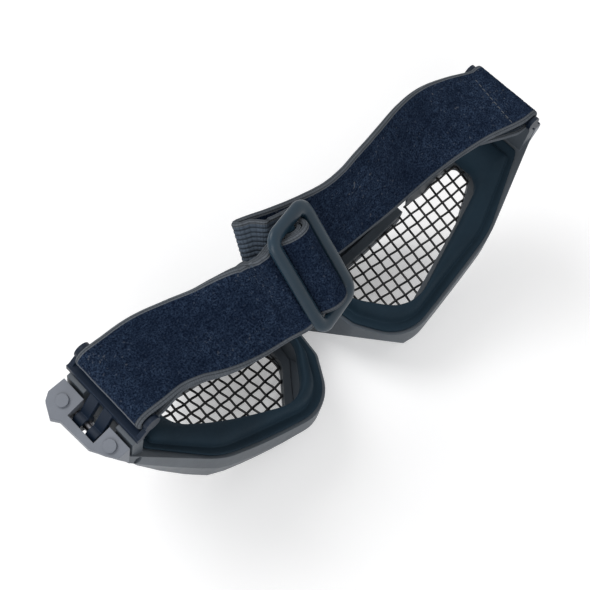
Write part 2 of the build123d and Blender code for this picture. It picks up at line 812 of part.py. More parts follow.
def main():
    os.makedirs("parts", exist_ok=True)
    save("front_frame", make_frame())
    rivets = rivet(-1, rivet_head_radius) + rivet(1, rivet_head_radius)
    right_pieces = {
        "bracket": make_bracket(),
        "lug_rivets": rivets,
        "retainer": make_retainer(),
        "face_pad": make_pad(),
        "clip_pin": pin_solid(pin_radius),
        "clip": make_clip(),
        "end_loop": make_end_loop(),
    }
    for name, shape in right_pieces.items():
        save("right_" + name, shape)
        save("left_" + name, mirror(shape, about=Plane.YZ))
    save("right_screen", make_screen(right_weave_turn, right_weave_x, right_weave_y))
    save("left_screen", mirror(make_screen(left_weave_turn, left_weave_x, left_weave_y), about=Plane.YZ))
    save("right_band", make_right_band())
    save("right_tail", make_right_tail())
    save("left_top_band", make_left_band(1, 1))
    save("left_return_band", make_left_band(-1, 2))
    save("middle_band", make_middle_band())
    save("band_fold", make_band_fold())
    save("slider_buckle", make_slider_buckle())
    save("slider_band", make_slider_band())
    save("sewn_loop", make_sewn_loop())


main()
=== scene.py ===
import math

import bpy
from bpy.props import FloatProperty, FloatVectorProperty, IntProperty, PointerProperty
from mathutils import Matrix, Vector, noise


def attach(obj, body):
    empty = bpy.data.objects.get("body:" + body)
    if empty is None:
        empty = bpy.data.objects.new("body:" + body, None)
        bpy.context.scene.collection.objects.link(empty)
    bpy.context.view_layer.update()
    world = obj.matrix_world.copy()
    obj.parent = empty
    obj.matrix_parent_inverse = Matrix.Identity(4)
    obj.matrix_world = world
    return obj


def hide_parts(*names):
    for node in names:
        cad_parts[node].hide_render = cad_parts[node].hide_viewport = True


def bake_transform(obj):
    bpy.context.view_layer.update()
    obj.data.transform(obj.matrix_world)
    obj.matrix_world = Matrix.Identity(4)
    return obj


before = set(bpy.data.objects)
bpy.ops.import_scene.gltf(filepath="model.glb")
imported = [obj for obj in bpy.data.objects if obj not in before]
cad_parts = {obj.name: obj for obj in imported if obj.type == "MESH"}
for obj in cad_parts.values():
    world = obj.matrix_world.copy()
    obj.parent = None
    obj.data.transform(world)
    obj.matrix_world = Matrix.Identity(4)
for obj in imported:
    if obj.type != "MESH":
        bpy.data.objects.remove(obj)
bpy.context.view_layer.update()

bl_info = {
    "name": "Mesh safety goggles",
    "version": (1, 0, 0),
    "blender": (4, 5, 0),
    "location": "View3D > Sidebar > Goggles",
    "description": "Woven screens, face pads, straps, stitching and finishes of mesh safety goggles",
    "category": "Object",
}

# Millimetres to metres, and the height in the drawings of the part's origin
MM = 0.001
origin_y = 11.5

# Wrap of the front, seen from the brow, in millimetres
rim_depth = 3.0
bridge_flat = 9.5
wrap_radius = 90.0
wrap_angle = 40.0

# Eye openings, half outlines of the right eye: (x, y, corner radius)
lens_corners = [
    (11.6, 10.0, 4.0),
    (12.4, -2.8, 8.0),
    (27.0, -19.2, 8.0),
    (66.0, -7.7, 13.0),
    (76.8, -0.8, 4.0),
    (76.8, 8.0, 4.0),
]
lip_corners = [
    (11.6, 10.0, 4.0),
    (12.4, -5.5, 10.0),
    (25.6, -22.1, 13.0),
    (68.8, -7.7, 7.0),
    (68.8, 8.8, 4.0),
]
frame_corners = [
    (0.0, 19.0, 0.0),
    (60.0, 20.5, 60.0),
    (86.5, 15.7, 0.0),
    (86.5, -10.7, 0.0),
    (60.6, -22.4, 27.6),
    (18.2, -28.1, 16.0),
    (8.2, -12.0, 4.0),
    (5.8, 4.0, 4.0),
    (0.0, 4.0, 0.0),
]

# Weave of the screens: turn in degrees and one opening's centre, along the screen and up
mesh_pitch = 3.75
weaves = {"left": (-5.4, 26.3, -2.2), "right": (-10.6, 45.6, -7.8)}
wire_steps = 6
wire_seat = 1.7
wire_reach = 26
wire_round_steps = 2

# Face pads: seat on the frame wall, flange and lip, and the edge towards the bridge and the bracket
pad_seat = 16.6
pad_flange = 1.2
pad_lip = 6.1
pad_edge_inset = 1.0
pad_inner_x = 1.2
pad_outer_x = 81.0
pad_steps = 300

# Section of a pad: its foot, the flange and groove as (distance in, height over the flange's top), the crown
# as (share of its width, share of the lip's height), and the lip's inner side and foot, seen from the lip
pad_foot_line = [(0.15, 0.0), (0.0, 0.15)]
pad_flange_width = 3.0
pad_flange_line = [(0.0, -0.25), (0.25, 0.0), (1.3, 0.05), (2.3, 0.0), (2.8, -0.1), (3.15, 0.5), (3.3, 1.6)]
pad_crown_line = [(0.14, 0.66), (0.3, 0.84), (0.5, 0.96), (0.68, 1.0), (0.82, 0.96), (0.93, 0.84)]
pad_lip_line = [(0.05, 0.64), (0.0, 0.4)]
pad_lip_foot_line = [(0.0, 0.9), (0.2, 0.0), (1.6, 0.0)]

# Spread of the pad's sections round the lip: steps of its arcs, extra steps at the corners, how far the
# sections point away from the lip's middle or straight up and down, and the slack of the rubber
lip_arc_steps = 24
corner_spread = 9
ray_middle_share = 0.55
ray_upright_share = 0.45
pad_sag = 0.18
pad_sag_scale = 0.12

# Strap ends round the clips' loop bars
loop_bar_x = 80.0
loop_bar_y = 2.5
loop_bar_z = 68.8
loop_bar_radius = 1.7
loop_tail = 4.3
layer_gap = 0.35
fold_radius = 1.9
arc_step_degrees = 30
right_route_shares = [
    (1.0, 0.0, 0.0, 0.0, 0.0),
    (0.824, 0.12, 0.108, 9.0, 0.09),
    (0.68, 0.17, 0.14, 23.0, 0.02),
    (0.54, 0.17, 0.15, 36.0, -0.03),
    (0.395, 0.124, 0.168, 46.0, -0.04),
    (0.25, 0.064, 0.196, 53.0, -0.03),
    (0.12, 0.04, 0.15, 60.0, 0.02),
    (-0.015, 0.03, 0.14, 62.0, 0.08),
    (-0.152, 0.044, 0.192, 60.0, 0.13),
    (-0.296, 0.092, 0.24, 55.0, 0.16),
    (-0.42, 0.136, 0.296, 47.0, 0.15),
]
left_route_shares = [
    (-1.0, 0.0, 0.0, 0.0, 0.0),
    (-0.88, 0.004, 0.056, 0.0, 0.12),
    (-0.77, -0.076, 0.064, 2.0, 0.25),
    (-0.67, -0.188, 0.096, 12.0, 0.27),
    (-0.572, -0.276, 0.176, 27.0, 0.13),
    (-0.487, -0.364, 0.296, 40.0, -0.05),
]
middle_shares = (-0.1, 0.18, -0.47)
section_step = 0.8
turn_steps = 6
hump_steps = 8
sewn_steps = 10
sewn_end_degrees = 205
left_cut = 54.0

# Section of the strap: strips across the pile and each rib, steps and bulge of the woven edges, and the pile
pile_strips = 40
rib_strips = 4
edge_steps = 6
edge_bulge = 0.08
pile_rise = 0.1
tuft_size = 1.9
tuft_height = 0.085
lump_size = 0.22
lump_height = 0.1
woven_nap = 0.35

# Thread stitches: place on the right strap, place on the sewn loop, and shape
stitches_x = 73.0
sewn_stitches_step = 6
stitch_edge = 1.6
stitch_pitch = 2.0
stitch_gap = 0.7
stitch_points = 4
stitch_arch = 0.16
stitch_sink = 0.08
stitch_skew = 0.12
thread_radius = 0.15
thread_round_steps = 1
thread_shade = 0.7

# Slider buckle's place and turn, and the strap's way through it
slider_centre = (-23.6, -9.2, 84.2)
slider_turns = (44.5, 13.4, 7.0)
slider_width = 20.0
slider_thickness = 2.6
slider_bar_radius = 1.3
slider_hump_start = 6.2
slider_reach = 10.0

# Rounded slider buckle: outer half sizes along and across the strap, its bar's width and height, and its rise
buckle_half_length = 10.3
buckle_half_width = 17.05
buckle_corner = 5.2
buckle_bar_width = 4.2
buckle_bar_height = 3.0
buckle_rise = 0.3
buckle_corner_steps = 10
buckle_round_steps = 7
bar_sides = 32

# Sharpest edge that is shaded smooth, and rays that look for worn edges
smooth_angle = math.radians(50)
edge_samples = 6

# Moulded finishes: how much paler worn edges are, scale and depth of the grain, roughness, and worn width
finish_table = {
    "frame_plastic": (1.9, 1800.0, 0.00006, (0.42, 0.6), 0.0003),
    "bracket_plastic": (1.25, 2600.0, 0.00003, (0.38, 0.5), 0.0003),
    "clip_plastic": (3.0, 1800.0, 0.00003, (0.35, 0.5), 0.0003),
    "pin_steel": (1.6, 3000.0, 0.00001, (0.3, 0.4), 0.0003),
    "screen_wire": (4.0, 3500.0, 0.00002, (0.35, 0.55), 0.00004),
    "pad_rubber": (2.2, 900.0, 0.00012, (0.55, 0.75), 0.0004),
    "slider_plastic": (2.2, 1400.0, 0.00002, (0.3, 0.42), 0.0003),
    "thread": (1 / thread_shade, 4000.0, 0.0001, (0.7, 0.9), 0.00005),
}

# Detail and roughness of the noises whose scale a finish sets
grain_noise = (4.0, 0.6)
tuft_noise = (3.0, 0.7)

# Other noises of the finishes: scale, detail and roughness
tone_noise = (55.0, 4.0, 0.6)
scuff_noise = (420.0, 5.0, 0.7)
clump_noise = (480.0, 3.0, 0.6)
patch_noise = (75.0, 4.0, 0.6)
lint_noise = (1000.0, 2.0, 0.5)
fuzz_noise = (2000.0, 4.0, 0.7)
wear_noise = (260.0, 3.0, 0.6)

# Ranges of the finishes: lowest and highest value in, and what they turn into
edge_span = (0.99, 0.8, 0.0, 1.0)
scuff_span = (0.35, 0.65, 0.25, 1.0)
tone_span = (0.3, 0.7, 0.86, 1.16)
tuft_span = (0.38, 0.66, 0.0, 1.0)
clump_span = (0.3, 0.7, 0.35, 1.0)
patch_span = (0.32, 0.68, 0.5, 1.0)
loose_span = (0.45, 0.65, 0.1, 0.7)
lint_span = (0.64, 0.74, 0.0, 1.0)
fold_highlight_span = (0.4, 1.0, 0.75, 0.0)
rib_span = (0.0, 0.8, 0.0, 1.0)
yarn_span = (0.0, 0.8, 0.55, 1.0)
weave_span = (0.25, 1.15, 0.0, 1.0)
wear_span = (0.3, 0.7, 0.7, 1.1)

# Pile's lint and the painted highlight on its fold, the woven edge's cords and the painted shade between
# them, and the relief of grain, pile and weave
lint_colour = (0.12, 0.125, 0.135, 1)
fold_highlight_colour = (0.2, 0.215, 0.235, 1)
cord_pitch = 0.0007
cord_shade = 0.45
grain_strength = 0.6
tuft_share = 0.7
clump_share = 0.6
pile_depth = 0.0005
fuzz_share = 0.5
weave_strength = 0.8
weave_depth = 0.00025

# Camera at the photograph's viewing angle
camera_place = (-164.8, -91.7, 325.5)
camera_right = (0.701, -0.696, 0.154)
camera_up = (0.545, 0.662, 0.514)
photo_size = 590
focal_pixels = 1100
sensor_width = 36.0
camera_range = (0.01, 20)

# Floor's width and glow behind the shadows, and the lamps' places, sizes and aim, in metres
floor_width = 8
floor_glow = 0.3
key_place = (-0.35, 0.75, 0.95)
key_size = 0.7
fill_place = (-0.8, -0.6, 0.7)
fill_size = 0.6
lamp_aim = (0, 0, 0.04)


def length_property(name, description, default):
    """Setting in metres."""
    return FloatProperty(name=name, description=description, default=default, unit="LENGTH")


def colour_property(name, description, default):
    """Setting that holds an opaque colour."""
    return FloatVectorProperty(name=name, description=description, default=default, subtype="COLOR", size=4)


class StrapSettings(bpy.types.PropertyGroup):
    """Sizes and colours of the elastic strap."""

    width: length_property("Width", "Width of the webbing", 0.025)
    thickness: length_property("Thickness", "Thickness of the webbing with its pile", 0.0015)
    ribs: IntProperty(name="Ribs", description="Ribs across the back of the webbing", default=18, min=3)
    groove: length_property("Groove", "Depth of the grooves between the ribs", 0.00016)
    selvedge: length_property("Selvedge", "Width of the bare woven edge", 0.0005)
    # Pile colours: the yarn's navy, with painted shade deep in the pile and painted light on the tips
    pile_dark: colour_property("Pile dark", "Colour deep in the pile", (0.004, 0.008, 0.02, 1))
    pile_light: colour_property("Pile light", "Colour of the pile's tips", (0.05, 0.08, 0.14, 1))
    edge_colour: colour_property("Edge", "Colour of the woven edges", (0.12, 0.135, 0.155, 1))
    rib_colour: colour_property("Back", "Colour of the ribbed back", (0.085, 0.11, 0.145, 1))


class ScreenSettings(bpy.types.PropertyGroup):
    """Sizes and colour of the woven wire screens."""

    wire: length_property("Wire", "Diameter of the painted wire", 0.00084)
    crimp: length_property("Crimp", "How far each wire swings over and under", 0.00034)
    colour: colour_property("Paint", "Colour of the wire's paint", (0.008, 0.0085, 0.01, 1))


class FinishSettings(bpy.types.PropertyGroup):
    """Colours of the plastics, rubber and pins."""

    frame_colour: colour_property("Frame", "Colour of the front's plastic", (0.057, 0.07, 0.085, 1))
    # Brackets: their dark plastic made lighter, to paint in the strong light and sheen their faces catch
    bracket_lit_colour: colour_property("Brackets", "Colour of the end brackets", (0.145, 0.16, 0.19, 1))
    clip_colour: colour_property("Clips", "Colour of the strap clips", (0.007, 0.014, 0.028, 1))
    slider_colour: colour_property("Slider", "Colour of the slider buckle", (0.01, 0.028, 0.046, 1))
    pad_colour: colour_property("Pads", "Colour of the face pads", (0.011, 0.024, 0.037, 1))
    pin_colour: colour_property("Pins", "Colour of the hinge pins", (0.12, 0.12, 0.13, 1))


class StageSettings(bpy.types.PropertyGroup):
    """Floor and studio light."""

    floor_colour: colour_property("Floor", "Colour of the floor", (0.9, 0.9, 0.905, 1))
    key_power: FloatProperty(
        name="Key light", description="Power of the large lamp behind the brow", default=6.4, unit="POWER")
    fill_power: FloatProperty(
        name="Fill light", description="Power of the lamp beside the camera", default=4.0, unit="POWER")
    sky: FloatProperty(name="Room light", description="Strength of the light from all sides", default=0.5)


class GogglesSettings(bpy.types.PropertyGroup):
    """All settings of the goggles."""

    strap: PointerProperty(type=StrapSettings)
    screen: PointerProperty(type=ScreenSettings)
    finish: PointerProperty(type=FinishSettings)
    stage: PointerProperty(type=StageSettings)


# Shared geometry, in millimetres of the drawings


def front_height(x):
    """Height of the screens' surface over the ground at a distance x from the middle."""
    side = abs(x)
    angle = math.radians(wrap_angle)
    arc_end = bridge_flat + wrap_radius * math.sin(angle)
    if side <= bridge_flat:
        return rim_depth
    if side <= arc_end:
        return rim_depth + wrap_radius - math.sqrt(wrap_radius ** 2 - (side - bridge_flat) ** 2)
    return rim_depth + wrap_radius * (1 - math.cos(angle)) + (side - arc_end) * math.tan(angle)


def screen_point(along):
    """Place (x, z) and slope in radians of the screen's surface at a distance along it."""
    arc = math.radians(wrap_angle) * wrap_radius
    if along <= bridge_flat:
        return along, rim_depth, 0.0
    if along <= bridge_flat + arc:
        angle = (along - bridge_flat) / wrap_radius
        x = bridge_flat + wrap_radius * math.sin(angle)
        return x, front_height(x), angle
    angle = math.radians(wrap_angle)
    x = bridge_flat + wrap_radius * math.sin(angle) + (along - bridge_flat - arc) * math.cos(angle)
    return x, front_height(x), angle


def rounded(corners, arc_steps=8):
    """Points of a closed outline with tangent arcs at its corners."""
    points = []
    for i, (x, y, radius) in enumerate(corners):
        here = Vector((x, y))
        back = (Vector(corners[i - 1][:2]) - here).normalized()
        ahead = (Vector(corners[(i + 1) % len(corners)][:2]) - here).normalized()
        if radius == 0:
            points.append(here)
            continue
        half = back.angle(ahead) / 2
        start = here + back * (radius / math.tan(half))
        centre = here + (back + ahead).normalized() * (radius / math.sin(half))
        turn = (start - centre).angle_signed(here + ahead * (radius / math.tan(half)) - centre)
        for k in range(arc_steps + 1):
            spoke = (start - centre).copy()
            spoke.rotate(Matrix.Rotation(-turn * k / arc_steps, 2))
            points.append(centre + spoke)
    return points


def inside(point, outline):
    """True where a place lies inside a closed outline."""
    crossings = 0
    for i, a in enumerate(outline):
        b = outline[i - 1]
        if (a.y > point.y) != (b.y > point.y):
            crossings += point.x < a.x + (b.x - a.x) * (point.y - a.y) / (b.y - a.y)
    return crossings % 2 == 1


def distance_to(point, outline):
    """Distance from a place to a closed outline."""
    least = math.inf
    for i, a in enumerate(outline):
        b = outline[i - 1]
        edge = a - b
        share = min(1, max(0, (point - b).dot(edge) / max(edge.length_squared, 1e-9)))
        least = min(least, (point - b - edge * share).length)
    return least


def lattice(values):
    """Vector in metres of a place in the drawings' millimetres."""
    return Vector((values[0], values[1] - origin_y, values[2])) * MM


# Shader building


def feed(tree, socket, value):
    """Set a socket to a number or colour, or link it."""
    if isinstance(value, bpy.types.NodeSocket):
        tree.links.new(value, socket)
    else:
        socket.default_value = value


def node(tree, kind, **inputs):
    """New node, its inputs set by name."""
    made = tree.nodes.new("ShaderNode" + kind)
    for name, value in inputs.items():
        feed(tree, made.inputs[name.replace("_", " ")], value)
    return made


def math_node(tree, operation, *values):
    """Result of an operation on links or numbers."""
    made = tree.nodes.new("ShaderNodeMath")
    made.operation = operation
    for socket, value in zip(made.inputs, values):
        feed(tree, socket, value)
    return made.outputs[0]


def span_node(tree, value, low, high, to_low, to_high):
    """Value mapped from one range to another, and held inside it."""
    made = node(tree, "MapRange", Value=value, From_Min=low, From_Max=high, To_Min=to_low, To_Max=to_high)
    return made.outputs["Result"]


def mix_colour(tree, factor, first, second):
    """Colour between a first and a second one."""
    made = tree.nodes.new("ShaderNodeMix")
    made.data_type = "RGBA"
    for number, value in ((0, factor), (6, first), (7, second)):
        feed(tree, made.inputs[number], value)
    return made.outputs[2]


def scaled(tree, colour, factor):
    """Colour made darker or lighter by a link."""
    made = tree.nodes.new("ShaderNodeVectorMath")
    made.operation = "SCALE"
    tree.links.new(colour, made.inputs[0])
    tree.links.new(factor, made.inputs["Scale"])
    return made.outputs[0]


def noise_node(tree, vector, scale, detail, roughness):
    """Noise at places given by a link; the scale may be a link too."""
    made = node(tree, "TexNoise", Vector=vector, Scale=scale, Detail=detail, Roughness=roughness)
    return made.outputs["Fac"]


def new_group(name, inputs, outputs):
    """Empty node group with named inputs (name, kind, default) and outputs (name, kind)."""
    tree = bpy.data.node_groups.new(name, "ShaderNodeTree")
    for label, kind, default in inputs:
        socket = tree.interface.new_socket(name=label, in_out="INPUT", socket_type="NodeSocket" + kind)
        socket.default_value = default
    for label, kind in outputs:
        tree.interface.new_socket(name=label, in_out="OUTPUT", socket_type="NodeSocket" + kind)
    return tree, tree.nodes.new("NodeGroupInput").outputs, tree.nodes.new("NodeGroupOutput").inputs


def moulded_group():
    """Moulded plastic or rubber: fine grain, slow change of tone, lighter worn edges."""
    found = bpy.data.node_groups.get("moulded")
    if found:
        return found
    tree, given, out = new_group(
        "moulded",
        [("Base", "Color", (0.1, 0.1, 0.1, 1)), ("Worn", "Color", (0.2, 0.2, 0.2, 1)),
         ("Grain Scale", "Float", 1800.0), ("Grain Depth", "Float", 0.00005),
         ("Edge Radius", "Float", 0.0003), ("Rough Low", "Float", 0.4), ("Rough High", "Float", 0.55)],
        [("Color", "Color"), ("Roughness", "Float"), ("Normal", "Vector")])
    place = tree.nodes.new("ShaderNodeTexCoord").outputs["Object"]
    grain = noise_node(tree, place, given["Grain Scale"], *grain_noise)
    tone = noise_node(tree, place, *tone_noise)
    scuff = noise_node(tree, place, *scuff_noise)
    bevel = node(tree, "Bevel", Radius=given["Edge Radius"])
    bevel.samples = edge_samples
    geometry = tree.nodes.new("ShaderNodeNewGeometry")
    dot = tree.nodes.new("ShaderNodeVectorMath")
    dot.operation = "DOT_PRODUCT"
    tree.links.new(bevel.outputs[0], dot.inputs[0])
    tree.links.new(geometry.outputs["Normal"], dot.inputs[1])
    edge = span_node(tree, dot.outputs["Value"], *edge_span)
    worn = math_node(tree, "MULTIPLY", edge, span_node(tree, scuff, *scuff_span))
    tinted = scaled(tree, given["Base"], span_node(tree, tone, *tone_span))
    tree.links.new(mix_colour(tree, worn, tinted, given["Worn"]), out["Color"])
    blend = node(tree, "Mix", Factor=scuff)
    tree.links.new(given["Rough Low"], blend.inputs[2])
    tree.links.new(given["Rough High"], blend.inputs[3])
    tree.links.new(blend.outputs[0], out["Roughness"])
    bump = node(tree, "Bump", Strength=grain_strength, Distance=given["Grain Depth"], Height=grain,
                Normal=bevel.outputs[0])
    tree.links.new(bump.outputs[0], out["Normal"])
    return tree


def pile_group():
    """Brushed pile: speckled tufts with painted shade deep in them and painted light on their tips, soft
    patches and a deep nap, and a painted highlight across one fold.
    """
    found = bpy.data.node_groups.get("pile")
    if found:
        return found
    tree, given, out = new_group(
        "pile",
        [("Dark", "Color", (0.01, 0.01, 0.02, 1)), ("Light", "Color", (0.05, 0.06, 0.08, 1)),
         ("Tuft Scale", "Float", 2000.0), ("Fold Place", "Float", 0.0), ("Fold Width", "Float", 0.0005)],
        [("Color", "Color"), ("Normal", "Vector")])
    place = tree.nodes.new("ShaderNodeTexCoord").outputs["Object"]
    tufts = noise_node(tree, place, given["Tuft Scale"], *tuft_noise)
    clumps = noise_node(tree, place, *clump_noise)
    patches = noise_node(tree, place, *patch_noise)
    lint = noise_node(tree, place, *lint_noise)
    # Painted shade and light: the tuft noise that raises the bump also makes the pile light on its tips and
    # dark deep down; clumps and patches vary it at random
    tips = span_node(tree, tufts, *tuft_span)
    lit = math_node(tree, "MULTIPLY", tips, span_node(tree, clumps, *clump_span))
    lit = math_node(tree, "MULTIPLY", lit, span_node(tree, patches, *patch_span))
    colour = mix_colour(tree, lit, given["Dark"], given["Light"])
    loose = span_node(tree, patches, *loose_span)
    specks = math_node(tree, "MULTIPLY", span_node(tree, lint, *lint_span), loose)
    colour = mix_colour(tree, specks, colour, lint_colour)
    # Painted highlight: the pile turns pale in a narrow band across the strap at the fold's place
    along = tree.nodes.new("ShaderNodeUVMap")
    along.uv_map = "strap"
    distance = node(tree, "SeparateXYZ", Vector=along.outputs[0]).outputs[0]
    from_fold = math_node(tree, "ABSOLUTE", math_node(tree, "SUBTRACT", distance, given["Fold Place"]))
    bare = span_node(tree, math_node(tree, "DIVIDE", from_fold, given["Fold Width"]), *fold_highlight_span)
    tree.links.new(mix_colour(tree, bare, colour, fold_highlight_colour), out["Color"])
    height = math_node(tree, "ADD", math_node(tree, "MULTIPLY", tufts, tuft_share),
                       math_node(tree, "MULTIPLY", clumps, clump_share))
    bump = node(tree, "Bump", Strength=1.0, Distance=pile_depth, Height=height)
    tree.links.new(bump.outputs[0], out["Normal"])
    return tree


def webbing_group():
    """Woven yarns that follow the strap, with painted shade in the grooves between ribs a pitch apart and
    between the yarns.
    """
    found = bpy.data.node_groups.get("webbing")
    if found:
        return found
    tree, given, out = new_group(
        "webbing",
        [("Yarn", "Color", (0.05, 0.05, 0.06, 1)), ("Shade", "Float", 0.3), ("Pitch", "Float", 0.0013),
         ("First Groove", "Float", 0.0), ("Yarn Pitch", "Float", 0.0008)],
        [("Color", "Color"), ("Normal", "Vector")])
    place = tree.nodes.new("ShaderNodeUVMap")
    place.uv_map = "strap"
    split = node(tree, "SeparateXYZ", Vector=place.outputs[0])
    offset = math_node(tree, "SUBTRACT", split.outputs[1], given["First Groove"])
    turns = math_node(tree, "MULTIPLY", math_node(tree, "DIVIDE", offset, given["Pitch"]), math.pi)
    rib = math_node(tree, "ABSOLUTE", math_node(tree, "SINE", turns))
    beats = math_node(tree, "DIVIDE", split.outputs[0], given["Yarn Pitch"])
    yarn = math_node(tree, "ABSOLUTE", math_node(tree, "SINE", math_node(tree, "MULTIPLY", beats, math.pi)))
    object_place = tree.nodes.new("ShaderNodeTexCoord").outputs["Object"]
    fuzz = noise_node(tree, object_place, *fuzz_noise)
    wear = noise_node(tree, object_place, *wear_noise)
    weave = math_node(tree, "MULTIPLY", span_node(tree, rib, *rib_span), span_node(tree, yarn, *yarn_span))
    height = math_node(tree, "ADD", weave, math_node(tree, "MULTIPLY", fuzz, fuzz_share))
    # Painted shade: where the weave's relief is low, in the grooves and between the yarns, the colour darkens
    # towards Yarn times Shade; the wear noise varies the tone at random
    tone = math_node(tree, "MULTIPLY",
                     span_node(tree, height, *weave_span), span_node(tree, wear, *wear_span))
    dark = scaled(tree, given["Yarn"], given["Shade"])
    tree.links.new(mix_colour(tree, tone, dark, given["Yarn"]), out["Color"])
    bump = node(tree, "Bump", Strength=weave_strength, Distance=weave_depth, Height=height)
    tree.links.new(bump.outputs[0], out["Normal"])
    return tree


def material_with(name, group, values, links, **shader):
    """Material whose Principled shader takes a group's outputs, and plain values by name."""
    full_name = "finish_" + name
    found = bpy.data.materials.get(full_name)
    if found:
        return found
    material = bpy.data.materials.new(full_name)
    material.use_nodes = True
    tree = material.node_tree
    principled = tree.nodes["Principled BSDF"]
    effect = tree.nodes.new("ShaderNodeGroup")
    effect.node_tree = group
    for label, value in values.items():
        effect.inputs[label].default_value = value
    for output, socket in links.items():
        tree.links.new(effect.outputs[output], principled.inputs[socket])
    for label, value in shader.items():
        principled.inputs[label.replace("_", " ")].default_value = value
    return material


def moulded(name, colour, **shader):
    """Moulded finish from its row in the table, with worn edges paler than the colour."""
    paler, grain, depth, rough, edge = finish_table[name]
    values = {"Base": colour, "Worn": lighter(colour, paler), "Grain Scale": grain, "Grain Depth": depth,
              "Edge Radius": edge, "Rough Low": rough[0], "Rough High": rough[1]}
    links = {"Color": "Base Color", "Roughness": "Roughness", "Normal": "Normal"}
    return material_with(name, moulded_group(), values, links, **shader)


def lighter(colour, factor):
    """Opaque colour times a factor."""
    return tuple(min(1, part * factor) for part in colour[:3]) + (1,)


def strap_materials(fold_place):
    """Pile, woven edge and ribbed back, in the order of a section's tags, with the place of the fold that
    gets the pile's painted highlight.
    """
    strap = bpy.context.scene.goggles.strap
    links = {"Color": "Base Color", "Normal": "Normal"}
    flat = strap.width / 2 - strap.thickness / 2
    ribs = {"Yarn": strap.rib_colour, "Pitch": 2 * flat / strap.ribs, "First Groove": flat}
    cords = {"Yarn": strap.edge_colour, "Pitch": cord_pitch, "First Groove": flat, "Shade": cord_shade}
    tufts = {"Dark": strap.pile_dark, "Light": strap.pile_light, "Fold Place": fold_place}
    pile = material_with("strap_pile", pile_group(), tufts, links,
                         Roughness=1.0, Sheen_Weight=0.03, Sheen_Roughness=0.5,
                         Sheen_Tint=(0.4, 0.5, 0.7, 1), Specular_IOR_Level=0.0)
    edge = material_with("strap_edge", webbing_group(), cords, links,
                         Roughness=0.95, Specular_IOR_Level=0.05)
    back = material_with("strap_back", webbing_group(), ribs, links,
                         Roughness=0.9, Specular_IOR_Level=0.1)
    return [pile, edge, back]


# Mesh building


def placed(name, data):
    """New object in the scene."""
    made = bpy.data.objects.new(name, data)
    bpy.context.scene.collection.objects.link(made)
    return made


def choose(piece):
    """Make a piece the only selected one, and the active one."""
    bpy.ops.object.select_all(action="DESELECT")
    bpy.context.view_layer.objects.active = piece
    piece.select_set(True)


def round_curve(name, radius, steps):
    """Empty curve for round wire, thread or moulded bars."""
    curve = bpy.data.curves.new(name, "CURVE")
    curve.dimensions = "3D"
    curve.bevel_depth = radius
    curve.bevel_resolution = steps
    curve.use_fill_caps = True
    return curve


def add_run(curve, places):
    """Straight runs through the places, added to a curve."""
    spline = curve.splines.new("POLY")
    spline.points.add(len(places) - 1)
    for point, place in zip(spline.points, places):
        point.co = (*place, 1)
    return spline


def mesh_piece(name, points, faces, materials, tags=None):
    """Object at the origin from points in metres, with faces turned outwards and smooth sides."""
    mesh = bpy.data.meshes.new(name)
    mesh.from_pydata([tuple(p) for p in points], [], faces)
    piece = placed(name, mesh)
    for material in materials:
        mesh.materials.append(material)
    if tags:
        mesh.polygons.foreach_set("material_index", tags)
    face_outwards(piece)
    bpy.ops.object.shade_smooth_by_angle(angle=smooth_angle)
    return piece


def face_outwards(piece):
    """Turn a piece's faces outwards, and leave it selected and active."""
    choose(piece)
    bpy.ops.object.mode_set(mode="EDIT")
    bpy.ops.mesh.select_all(action="SELECT")
    bpy.ops.mesh.normals_make_consistent(inside=False)
    bpy.ops.object.mode_set(mode="OBJECT")


def strap_section(strap):
    """Closed outline of a strap section: (across, up, tag), pile on the upper side."""
    half, rise = strap.width / MM / 2, strap.thickness / MM / 2
    flat = half - rise
    bare = flat - strap.selvedge / MM

    def edge(side, start):
        """Round woven edge, from an angle half a turn on."""
        radius = rise + edge_bulge
        for k in range(edge_steps + 1):
            angle = start - math.pi * k / edge_steps
            yield side * flat + radius * math.cos(angle), radius * math.sin(angle), 1

    points = [(-flat, rise, 1)]
    points += [(bare * (2 * k / pile_strips - 1), rise + pile_rise, 0) for k in range(pile_strips + 1)]
    points += edge(1, math.pi / 2)
    strips = strap.ribs * rib_strips
    for k in range(1, strips):
        share = k / strips
        groove = strap.groove / MM * (1 - abs(math.sin(math.pi * strap.ribs * share)))
        points.append((flat - 2 * flat * share, -rise + groove, 2))
    points += edge(-1, -math.pi / 2)
    return points


def hermite_line(stations, step):
    """Stations (centre, across) joined by a smooth line in short steps, and each station's number in it."""
    centres = [centre for centre, _ in stations]
    spans = [(b - a).length for a, b in zip(centres, centres[1:])]
    slopes = []
    for i in range(len(stations)):
        first, last = max(i - 1, 0), min(i + 1, len(stations) - 1)
        reach = sum(spans[first:last])
        slopes.append(tuple((stations[last][k] - stations[first][k]) / reach for k in (0, 1)))
    line, starts = [], []
    for i, span in enumerate(spans):
        starts.append(len(line))
        count = max(1, round(span / step))
        for k in range(count):
            line.append(tuple(hermite(stations[i][j], stations[i + 1][j], slopes[i][j] * span,
                                      slopes[i + 1][j] * span, k / count) for j in (0, 1)))
    line.append(stations[-1])
    return line, starts + [len(line) - 1]


def hermite(a, b, slope_a, slope_b, t):
    """Place on the smooth curve between two places with given slopes, t from 0 to 1."""
    return (a * (2 * t ** 3 - 3 * t ** 2 + 1) + slope_a * (t ** 3 - 2 * t ** 2 + t)
            + b * (3 * t ** 2 - 2 * t ** 3) + slope_b * (t ** 3 - t ** 2))


